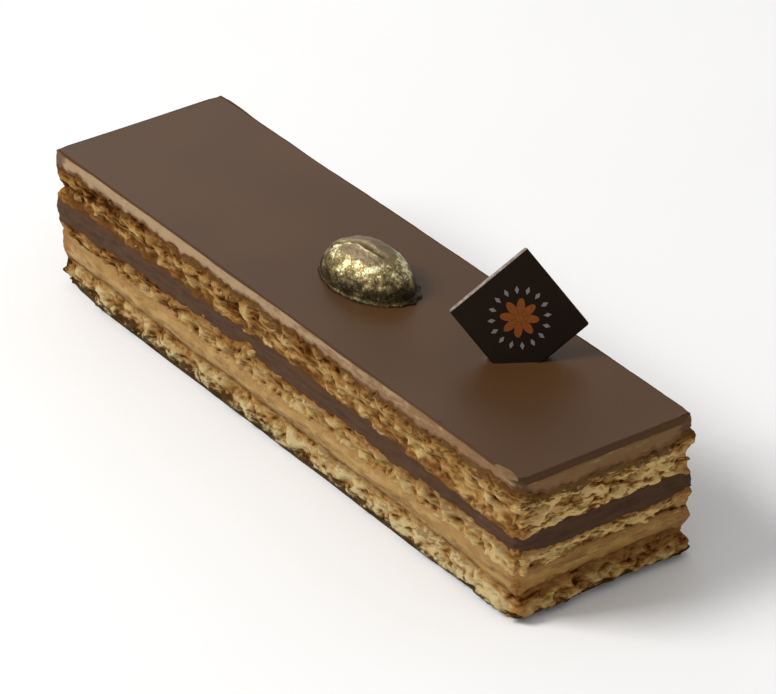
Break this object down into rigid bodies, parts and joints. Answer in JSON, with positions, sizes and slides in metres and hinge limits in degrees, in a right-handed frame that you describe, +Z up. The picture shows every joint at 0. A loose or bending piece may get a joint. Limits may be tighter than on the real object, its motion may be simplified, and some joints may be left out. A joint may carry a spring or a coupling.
{
  "type": "opera cake slice",
  "caption": "Long cut slice of opera cake: almond sponge, coffee buttercream and ganache layers under chocolate glaze, topped with a gilded chocolate bean and a plaque.",
  "frame": {"origin": "middle of the flat underside", "axes": "+X along the slice towards the end with the plaque, +Y across it away from the side that shows, +Z up"},
  "size_m": [0.1215, 0.0328, 0.0396],
  "materials": {
    "almond_sponge": "matte open crumb",
    "coffee_buttercream": "smooth knife-smeared cream",
    "ganache": "soft satin",
    "chocolate_glaze": "satin glaze",
    "gilded_chocolate": "patchy gold dust on dark chocolate",
    "dark_chocolate": "smooth dark chocolate"
  },
  "bodies": {
    "root": {"sponge_bottom": "almond_sponge", "buttercream_middle": "coffee_buttercream", "sponge_middle": "almond_sponge", "ganache": "ganache", "sponge_top": "almond_sponge", "buttercream_top": "coffee_buttercream", "glaze": "chocolate_glaze", "coffee_bean": "gilded_chocolate", "plaque": "dark_chocolate"}
  },
  "joints": []
}
